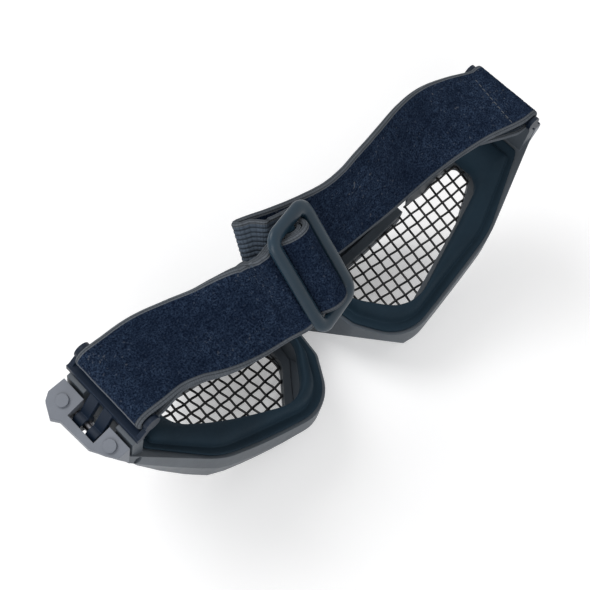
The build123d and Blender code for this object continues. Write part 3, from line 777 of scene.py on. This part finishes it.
def sections_of(line):
    """Centre, across, up (the pile's side) and distance along for each point of the strap's line."""
    sections = []
    distance = 0.0
    for i, (centre, across) in enumerate(line):
        ahead = (line[min(i + 1, len(line) - 1)][0] - line[max(i - 1, 0)][0]).normalized()
        across = (across - ahead * across.dot(ahead)).normalized()
        if i > 0:
            distance += (centre - line[i - 1][0]).length
        sections.append((centre, across, across.cross(ahead), distance))
    return sections


def nap(point):
    """Height of the pile's tufts and soft lumps at a place."""
    fine = noise.noise(Vector(point) * tuft_size)
    lumps = noise.noise(Vector(point) * lump_size)
    return tuft_height * fine + lump_height * lumps


def strap_piece(name, sections, materials):
    """Strap stretch through the sections, with pile, woven edges and a ribbed back."""
    strap = bpy.context.scene.goggles.strap
    outline = strap_section(strap)
    count = len(outline)
    points, faces, tags = [], [], []
    for centre, across, up, _ in sections:
        for a, h, tag in outline:
            place = centre + across * a + up * h
            place += up * nap(place) * (1 if tag == 0 else woven_nap)
            points.append(lattice(place))
    for i in range(len(sections) - 1):
        for k in range(count):
            after = (k + 1) % count
            faces.append((i * count + k, i * count + after, (i + 1) * count + after, (i + 1) * count + k))
            tags.append(outline[k][2] if outline[k][2] == outline[after][2] else 1)
    faces += [tuple(range(count)), tuple(reversed(range(len(points) - count, len(points))))]
    tags += [1, 1]
    piece = mesh_piece(name, points, faces, materials, tags)
    layer = piece.data.uv_layers.new(name="strap")
    for loop in piece.data.loops:
        ring, k = divmod(loop.vertex_index, count)
        layer.data[loop.index].uv = (sections[ring][3] * MM, outline[k][0] * MM)
    return piece


def route_stations(shares):
    """Centres and width directions of a strap's route."""
    width = bpy.context.scene.goggles.strap.width / MM
    span = loop_bar_x - loop_tail
    stations = []
    for x, y, z, tilt, skew in shares:
        angle = math.radians(tilt)
        centre = Vector((x * span, loop_bar_y + y * width, loop_bar_z + z * width))
        stations.append((centre, Vector((skew, math.cos(angle), math.sin(angle))).normalized()))
    return stations


def raised(stations, i, height):
    """Station i, moved by a height away from the ground side."""
    centre, across = stations[i]
    ahead = stations[min(i + 1, len(stations) - 1)][0] - stations[max(i - 1, 0)][0]
    if i == 0:
        ahead = Vector((1, 0, 0))
    up = (ahead - across * ahead.dot(across)).normalized().cross(across)
    if up.z < 0:
        up = -up
    return centre + up * height, across


def strap_thickness():
    """Thickness of the strap."""
    return bpy.context.scene.goggles.strap.thickness / MM


def layer_step():
    """Distance between the middles of two strap layers that lie on each other."""
    return strap_thickness() + layer_gap


def loop_offset():
    """Distance from the middle of a clip's loop bar to the middle of the strap round it."""
    return loop_bar_radius + layer_gap + strap_thickness() / 2


def loop_arc(side):
    """Stations round a clip's loop bar, from above to below it, on the right (1) or the left (-1)."""
    stations = []
    for degrees in range(90, -91, -arc_step_degrees):
        angle = math.radians(degrees)
        spoke = Vector((side * math.cos(angle), 0, math.sin(angle))) * loop_offset()
        stations.append((Vector((side * loop_bar_x, loop_bar_y, loop_bar_z)) + spoke, Vector((0, 1, 0))))
    return stations


def slider_matrix():
    """Place and turn of the slider: X along the strap, Y across it, Z away from the ground."""
    turns = [Matrix.Rotation(math.radians(turn), 4, axis) for turn, axis in zip(slider_turns, "XYZ")]
    return Matrix.Translation(slider_centre) @ turns[0] @ turns[1] @ turns[2]


def slider_station(reach, height):
    """Station at a place along the slider and above it."""
    place = slider_matrix()
    return place @ Vector((reach, 0, height)), place.col[1].to_3d()


def slider_layer(number):
    """Distance of strap layer number 1 or 2 below the middle of the slider."""
    return -(slider_thickness / 2 + layer_gap + strap_thickness() / 2 + (number - 1) * layer_step())


def sewn_loop_radius():
    """Outer radius of the strap that is sewn round the slider's middle bar."""
    return slider_bar_radius + layer_gap / 2 + strap_thickness()


def right_stations():
    """Right strap, from its sewn end round the clip's bar to its fold near the slider."""
    close = layer_step() / 2
    places = route_stations(right_route_shares)
    out = [raised(places, 1, -close), raised(places, 0, -loop_offset())]
    out += loop_arc(1)[::-1] + [raised(places, 0, loop_offset())]
    return out + [raised(places, i, close) for i in range(1, len(places))]


def fold_stations():
    """Fold at the end of the right strap, and the ribbed stretch from it to the turn at the slider."""
    close = layer_step() / 2
    places = route_stations(right_route_shares)
    last = len(places) - 1
    low, across = raised(places, last, close)
    up = (raised(places, last, close + 1)[0] - low).normalized()
    away = (places[last][0] - places[last - 1][0]).normalized()
    away = (away - across * away.dot(across)).normalized()
    centre = low + up * fold_radius
    arc = []
    for degrees in range(-60, 91, arc_step_degrees):
        angle = math.radians(degrees)
        arc.append((centre + (away * math.cos(angle) + up * math.sin(angle)) * fold_radius, across))
    turned = (across + slider_station(0, 0)[1]).normalized()
    reach, side, height = (share * slider_width for share in middle_shares)
    return arc + [(slider_matrix() @ Vector((reach, side, height)), turned)]


def slider_stations():
    """Turn at the slider's right edge, then the way over its middle bar."""
    level = slider_layer(1)
    radius = sewn_loop_radius() + layer_gap + strap_thickness() / 2
    away = math.hypot(slider_hump_start, level)
    lean = math.degrees(math.atan2(-level, slider_hump_start) - math.acos(radius / away))
    turn = arc_points(slider_reach, level - fold_radius, fold_radius, -90, 90, turn_steps)
    hump = arc_points(0, 0, radius, -lean, 180 + lean, hump_steps)
    places = turn + [(slider_hump_start, level)] + hump
    places += [(-slider_hump_start, level), (-slider_reach, level)]
    return [slider_station(x, z) for x, z in places]


def left_stations():
    """Left strap, from the slider round the clip's bar and back."""
    close = layer_step() / 2
    places = route_stations(left_route_shares)
    out = [raised(places, i, close) for i in range(len(places) - 1, 0, -1)]
    out += [raised(places, 0, loop_offset())] + loop_arc(-1) + [raised(places, 0, -loop_offset())]
    return out + [raised(places, i, -close) for i in range(1, len(places))]


def sewn_loop_stations():
    """Strap's end sewn round the slider's middle bar."""
    level = slider_layer(2)
    radius = sewn_loop_radius() - strap_thickness() / 2
    turn = arc_points(0, 0, radius, -90, sewn_end_degrees, sewn_steps)
    places = [(-slider_reach, level), (-slider_hump_start, level)] + turn
    return [slider_station(x, z) for x, z in places]


def strap_line():
    """Line of the whole strap, and the numbers of its points where it passes from piece to piece."""
    right, fold, slider = right_stations(), fold_stations(), slider_stations()
    left, loop = left_stations(), sewn_loop_stations()
    stations = right + fold + slider + left + loop
    line, starts = hermite_line(stations, section_step)
    fold_start = len(right) - 1
    slider_start = len(right) + len(fold)
    left_start = slider_start + len(slider) - 1
    loop_start = left_start + len(left) + 1
    bar = left_start + 1 + len(left) // 2
    return line, [starts[k] for k in (fold_start, slider_start, left_start, bar, loop_start)]


def arc_points(x, z, radius, start, end, steps):
    """Places on an arc, angles in degrees."""
    places = []
    for k in range(steps + 1):
        angle = math.radians(start + (end - start) * k / steps)
        places.append((x + radius * math.cos(angle), z + radius * math.sin(angle)))
    return places


def stitch_row(name, sections, index):
    """Row of thread stitches across a strap at one section."""
    strap = bpy.context.scene.goggles.strap
    width, pile_height = strap.width / MM, strap.thickness / MM / 2 + pile_rise
    centre, across, up, _ = sections[index]
    ahead = (sections[min(index + 1, len(sections) - 1)][0] - sections[index - 1][0]).normalized()
    curve = round_curve(name, thread_radius * MM, thread_round_steps)
    for k in range(int((width - 2 * stitch_edge) / stitch_pitch)):
        start = -width / 2 + stitch_edge + k * stitch_pitch
        run = []
        for j in range(stitch_points + 1):
            share = j / stitch_points
            lift = pile_height + stitch_arch * math.sin(math.pi * share) - stitch_sink
            place = centre + across * (start + share * (stitch_pitch - stitch_gap)) + up * lift
            run.append(lattice(place + ahead * stitch_skew * (share - 0.5)))
        add_run(curve, run)
    colour = lighter(strap.edge_colour, thread_shade)
    piece = finished(curve_to_mesh(placed(name, curve)), moulded("thread", colour, Specular_IOR_Level=0.3))
    return piece


def curve_to_mesh(piece):
    """Mesh of a curve, shaded smooth."""
    choose(piece)
    bpy.ops.object.convert(target="MESH")
    bpy.ops.object.shade_smooth()
    return bpy.context.view_layer.objects.active


def finished(piece, material):
    """The piece, with one material all over."""
    piece.data.materials.clear()
    piece.data.materials.append(material)
    return piece


class GOGGLES_OT_plastics(bpy.types.Operator):
    """Give the front, brackets, rivets, clips, pins and retainers their moulded finishes"""

    bl_idname = "goggles.plastics"
    bl_label = "Finish plastics and pins"

    def execute(self, context):
        colours = context.scene.goggles.finish
        frame_plastic = moulded("frame_plastic", colours.frame_colour)
        # The brackets' and rivets' colour holds painted light and sheen on their dark plastic
        bracket_plastic = moulded("bracket_plastic", colours.bracket_lit_colour)
        clip_plastic = moulded("clip_plastic", colours.clip_colour, Specular_IOR_Level=0.2)
        pin_steel = moulded("pin_steel", colours.pin_colour, Metallic=1.0)
        finishes = {"front_frame": frame_plastic}
        for side in ("left_", "right_"):
            finishes[side + "bracket"] = bracket_plastic
            finishes[side + "lug_rivets"] = bracket_plastic
            finishes[side + "clip"] = clip_plastic
            finishes[side + "retainer"] = frame_plastic
            finishes[side + "clip_pin"] = pin_steel
        for name, material in finishes.items():
            finished(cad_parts[name], material)
        return {"FINISHED"}


class GOGGLES_OT_screens(bpy.types.Operator):
    """Weave the two wire screens over and under on the wrapped surface"""

    bl_idname = "goggles.screens"
    bl_label = "Weave screens"

    def wire_points(self, outline, weave, line, crossing):
        """Places of one wire inside the seat, as runs; crossing is True for the wires across."""
        turn, start_x, start_y = weave
        cosine, sine = math.cos(math.radians(turn)), math.sin(math.radians(turn))
        crimp = bpy.context.scene.goggles.screen.crimp / MM
        runs, run = [], []
        for k in range(-wire_reach * wire_steps, wire_reach * wire_steps + 1):
            free, fixed = k / wire_steps, line + 0.5
            i, j = (free, fixed) if crossing else (fixed, free)
            along = start_x + mesh_pitch * (i * cosine - j * sine)
            y = start_y + mesh_pitch * (i * sine + j * cosine)
            x, z, slope = screen_point(along)
            height = crimp * math.sin(math.pi * free) * (-1) ** line * (-1 if crossing else 1)
            place = Vector((x, y))
            if inside(place, outline) or distance_to(place, outline) < wire_seat:
                run.append(Vector((x - height * math.sin(slope), y, z + height * math.cos(slope))))
            elif run:
                runs.append(run)
                run = []
        return [points for points in runs + [run] if len(points) > wire_steps // 2]

    def execute(self, context):
        settings = context.scene.goggles.screen
        paint = moulded("screen_wire", settings.colour)
        outline = rounded(lens_corners)
        for side, sign in (("left", -1), ("right", 1)):
            name = side + "_woven_screen"
            curve = round_curve(name, settings.wire / 2, wire_round_steps)
            for crossing in (False, True):
                for line in range(-wire_reach, wire_reach + 1):
                    for run in self.wire_points(outline, weaves[side], line, crossing):
                        add_run(curve, [lattice((sign * x, y, z)) for x, y, z in run])
            piece = finished(curve_to_mesh(placed(name, curve)), paint)
            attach(piece, "root")
            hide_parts(side + "_screen")
        return {"FINISHED"}


class GOGGLES_OT_pads(bpy.types.Operator):
    """Model the two crowned face pads with their flange, groove and rolled lip"""

    bl_idname = "goggles.pads"
    bl_label = "Model face pads"

    def profile(self, width):
        """Section of the pad where it is so wide, from its foot over the crown: (distance in, height)."""
        crown = width - pad_flange_width
        flange = [(inward, pad_flange + rise) for inward, rise in pad_flange_line]
        crest = [(pad_flange_width + share * crown, pad_lip * high) for share, high in pad_crown_line]
        lip = [(width - back, pad_lip * high) for back, high in pad_lip_line]
        foot = [(width - back, high) for back, high in pad_lip_foot_line]
        return pad_foot_line + flange + crest + lip + foot

    def edge_outline(self):
        """Outer edge of the right pad, inside the frame's edge."""
        corners = rounded(frame_corners)
        count = len(corners)
        places = []
        for i, here in enumerate(corners):
            ahead = (corners[(i + 1) % count] - corners[i - 1]).normalized()
            inward = Vector((ahead.y, -ahead.x))
            moved = here + inward * pad_edge_inset
            if not inside(moved, corners):
                moved = here - inward * pad_edge_inset
            moved.x = min(max(moved.x, pad_inner_x), pad_outer_x)
            places.append(moved)
        return places

    def ray_length(self, start, direction, outline):
        """Distance from a place along a direction to an outline."""
        least = math.inf
        for i, a in enumerate(outline):
            edge = outline[i - 1] - a
            cross = direction.x * edge.y - direction.y * edge.x
            if abs(cross) < 1e-9:
                continue
            away = a - start
            reach = (away.x * edge.y - away.y * edge.x) / cross
            share = (away.x * direction.y - away.y * direction.x) / cross
            if reach > 0 and -1e-6 <= share <= 1 + 1e-6:
                least = min(least, reach)
        return least

    def rays(self):
        """Lip places of the pad with outward directions, evenly spread round it."""
        lip = rounded(lip_corners, lip_arc_steps)
        perimeter = [0.0]
        count = len(lip)
        middle = sum(lip, Vector((0, 0))) / count
        for i in range(count):
            step = (lip[(i + 1) % count] - lip[i]).length
            a, b = lip[i] - middle, lip[(i + 1) % count] - middle
            perimeter.append(perimeter[-1] + step + corner_spread * abs(a.angle(b, 0.0)))
        places = []
        total = perimeter[-1]
        segment = 0
        for k in range(pad_steps):
            goal = total * k / pad_steps
            while perimeter[segment + 1] < goal:
                segment += 1
            share = (goal - perimeter[segment]) / (perimeter[segment + 1] - perimeter[segment])
            here = lip[segment].lerp(lip[(segment + 1) % count], share)
            level = Vector((here.x, middle.y))
            places.append((here, (here - middle * ray_middle_share - level * ray_upright_share).normalized()))
        return places

    def execute(self, context):
        rubber = moulded("pad_rubber", context.scene.goggles.finish.pad_colour, Specular_IOR_Level=0.1)
        edge = self.edge_outline()
        rings = []
        for here, outward in self.rays():
            width = self.ray_length(here, outward, edge)
            ring = []
            for distance, height in self.profile(width):
                place = here + outward * (width - distance)
                slack = noise.noise(Vector((place.x, place.y, 0)) * pad_sag_scale)
                sag = pad_sag * slack * min(1, height / pad_lip)
                ring.append((place.x, place.y, front_height(place.x) + pad_seat + height + sag))
            rings.append(ring)
        for side, sign in (("left", -1), ("right", 1)):
            points = [lattice((sign * x, y, z)) for ring in rings for x, y, z in ring]
            size = len(rings[0])
            faces = []
            for i in range(pad_steps):
                after = (i + 1) % pad_steps
                for k in range(size):
                    up = (k + 1) % size
                    faces.append((i * size + k, i * size + up, after * size + up, after * size + k))
            piece = mesh_piece(side + "_soft_pad", points, faces, [rubber])
            smooth = piece.modifiers.new("smooth", "SUBSURF")
            smooth.levels = smooth.render_levels = 1
            bpy.ops.object.modifier_apply(modifier="smooth")
            bpy.ops.object.shade_smooth()
            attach(piece, "root")
            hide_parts(side + "_face_pad")
        return {"FINISHED"}


class GOGGLES_OT_straps(bpy.types.Operator):
    """Lay the strap's stretches with pile, woven edges and ribbed back"""

    bl_idname = "goggles.straps"
    bl_label = "Lay straps"

    def execute(self, context):
        line, (fold, slider, left, bar, loop) = strap_line()
        sections = sections_of(line)
        # The pile's painted highlight lies on the fold round the left clip's loop bar
        materials = strap_materials(sections[bar][3] * MM)
        piece = strap_piece("right_strap", sections[:fold + 1], materials)
        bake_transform(piece)
        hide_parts("right_band", "right_tail", "right_end_loop")
        right_bar = max(range(fold), key=lambda i: line[i][0].x)
        row = min(range(right_bar, fold), key=lambda i: abs(line[i][0].x - stitches_x))
        thread = stitch_row("right_end_stitches", sections, row)
        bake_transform(thread)

        piece = strap_piece("folded_strap", sections[fold:slider + 1], materials)
        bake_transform(piece)
        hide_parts("middle_band", "band_fold")

        piece = strap_piece("slider_strap", sections[slider:left + 1], materials)
        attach(piece, "slider")
        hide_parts("slider_band")

        cut = min(range(left, bar), key=lambda i: abs(line[i][0].x + left_cut))
        cut_back = min(range(bar, loop), key=lambda i: abs(line[i][0].x + left_cut))
        piece = strap_piece("left_strap_end", sections[cut:cut_back + 1], materials)
        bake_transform(piece)
        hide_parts("left_end_loop")
        for name, part, replaced in (("left_strap_top", sections[left:cut + 1], "left_top_band"),
                                     ("left_strap_return", sections[cut_back:loop + 1], "left_return_band")):
            piece = strap_piece(name, part, materials)
            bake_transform(piece)
            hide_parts(replaced)

        piece = strap_piece("sewn_strap_loop", sections[loop:], materials)
        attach(piece, "slider")
        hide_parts("sewn_loop")
        thread = stitch_row("sewn_loop_stitches", sections, loop + sewn_stitches_step)
        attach(thread, "slider")
        return {"FINISHED"}


class GOGGLES_OT_slider(bpy.types.Operator):
    """Model the slider buckle as a rounded frame with a middle bar"""

    bl_idname = "goggles.slider"
    bl_label = "Model slider"

    def execute(self, context):
        reach = buckle_half_length - buckle_bar_width / 2
        side = buckle_half_width - buckle_bar_width / 2
        bend = buckle_corner - buckle_bar_width / 2
        corners = [(-reach, -side, bend), (-reach, side, bend), (reach, side, bend), (reach, -side, bend)]
        line = rounded(corners, buckle_corner_steps)
        curve = round_curve("slider_frame", buckle_bar_width / 2, buckle_round_steps)
        add_run(curve, [(x, y, 0) for x, y in line]).use_cyclic_u = True
        ring = curve_to_mesh(placed("slider_frame", curve))
        ring.data.transform(Matrix.Diagonal((1, 1, buckle_bar_height / buckle_bar_width, 1)))
        ring.data.transform(Matrix.Translation((0, 0, buckle_rise)))
        bpy.ops.object.select_all(action="DESELECT")
        bpy.ops.mesh.primitive_cylinder_add(vertices=bar_sides, radius=slider_bar_radius, depth=2 * side,
                                            rotation=(math.pi / 2, 0, 0))
        bpy.ops.object.transform_apply()
        bpy.ops.object.shade_smooth_by_angle(angle=smooth_angle)
        ring.select_set(True)
        context.view_layer.objects.active = ring
        bpy.ops.object.join()
        ring.data.transform(Matrix.Scale(MM, 4) @ Matrix.Translation((0, -origin_y, 0)) @ slider_matrix())
        face_outwards(ring)
        colour = context.scene.goggles.finish.slider_colour
        finished(ring, moulded("slider_plastic", colour, Specular_IOR_Level=0.35))
        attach(ring, "slider")
        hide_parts("slider_buckle")
        return {"FINISHED"}


class GOGGLES_OT_stage(bpy.types.Operator):
    """Set the pale floor, soft studio light and the camera"""

    bl_idname = "goggles.stage"
    bl_label = "Set the stage"

    def seen(self, tree):
        """Mask that is 1 for what the camera, mirrors and glass see directly."""
        path = tree.nodes.new("ShaderNodeLightPath")
        mask = math_node(tree, "MAXIMUM", path.outputs["Is Camera Ray"], path.outputs["Is Glossy Ray"])
        return math_node(tree, "MAXIMUM", mask, path.outputs["Is Transmission Ray"])

    def lamp(self, name, place, size, power):
        """Soft square lamp, turned to the goggles."""
        data = bpy.data.lights.new(name, "AREA")
        data.size = size
        data.energy = power
        lamp = placed(name, data)
        lamp.location = place
        lamp.rotation_euler = (Vector(lamp_aim) - Vector(place)).to_track_quat("-Z", "Y").to_euler()

    def floor(self, settings):
        """Pale floor that shows white where nothing shades it."""
        bpy.ops.object.select_all(action="DESELECT")
        bpy.ops.mesh.primitive_plane_add(size=floor_width)
        floor = bpy.context.object
        floor.name = "floor"
        material = bpy.data.materials.new("floor")
        material.use_nodes = True
        tree = material.node_tree
        principled = tree.nodes["Principled BSDF"]
        principled.inputs["Base Color"].default_value = settings.floor_colour
        principled.inputs["Roughness"].default_value = 0.9
        principled.inputs["Specular IOR Level"].default_value = 0.2
        principled.inputs["Emission Color"].default_value = (1, 1, 1, 1)
        glow = math_node(tree, "MULTIPLY", self.seen(tree), floor_glow)
        tree.links.new(glow, principled.inputs["Emission Strength"])
        floor.data.materials.append(material)

    def world(self, settings):
        """Even light from all sides, and a white background."""
        world = bpy.data.worlds.new("room")
        world.use_nodes = True
        tree = world.node_tree
        background = tree.nodes["Background"]
        background.inputs["Color"].default_value = (1, 1, 1, 1)
        strength = span_node(tree, self.seen(tree), 0.0, 1.0, settings.sky, 1.0)
        tree.links.new(strength, background.inputs["Strength"])
        bpy.context.scene.world = world

    def camera(self):
        """Camera at the photograph's place."""
        data = bpy.data.cameras.new("camera")
        data.sensor_width = sensor_width
        data.lens = sensor_width * focal_pixels / photo_size
        data.clip_start, data.clip_end = camera_range
        camera = placed("camera", data)
        right = Vector(camera_right).normalized()
        up = Vector(camera_up)
        up = (up - right * up.dot(right)).normalized()
        camera.matrix_world = Matrix((right, up, right.cross(up))).transposed().to_4x4()
        camera.location = lattice(camera_place)
        bpy.context.scene.camera = camera

    def execute(self, context):
        settings = context.scene.goggles.stage
        self.floor(settings)
        self.world(settings)
        self.lamp("key", key_place, key_size, settings.key_power)
        self.lamp("fill", fill_place, fill_size, settings.fill_power)
        self.camera()
        context.scene.view_settings.view_transform = "Standard"
        return {"FINISHED"}


class GOGGLES_PT_panel(bpy.types.Panel):
    """Lists the operators of the goggles"""

    bl_label = "Goggles"
    bl_idname = "GOGGLES_PT_panel"
    bl_space_type = "VIEW_3D"
    bl_region_type = "UI"
    bl_category = "Goggles"

    def draw(self, context):
        for operator in operators:
            self.layout.operator(operator.bl_idname)


settings_groups = (StrapSettings, ScreenSettings, FinishSettings, StageSettings, GogglesSettings)
operators = (GOGGLES_OT_plastics, GOGGLES_OT_screens, GOGGLES_OT_pads, GOGGLES_OT_straps, GOGGLES_OT_slider,
             GOGGLES_OT_stage)


def register():
    """Add the settings, operators and panel."""
    for group in settings_groups + operators + (GOGGLES_PT_panel,):
        bpy.utils.register_class(group)
    bpy.types.Scene.goggles = PointerProperty(type=GogglesSettings)


def unregister():
    """Take the settings, operators and panel away again."""
    del bpy.types.Scene.goggles
    for group in reversed(settings_groups + operators + (GOGGLES_PT_panel,)):
        bpy.utils.unregister_class(group)


def main():
    """Build the goggles' pieces and the stage."""
    register()
    bpy.ops.goggles.plastics()
    bpy.ops.goggles.screens()
    bpy.ops.goggles.pads()
    bpy.ops.goggles.straps()
    bpy.ops.goggles.slider()
    bpy.ops.goggles.stage()


if __name__ == "__main__":
    main()
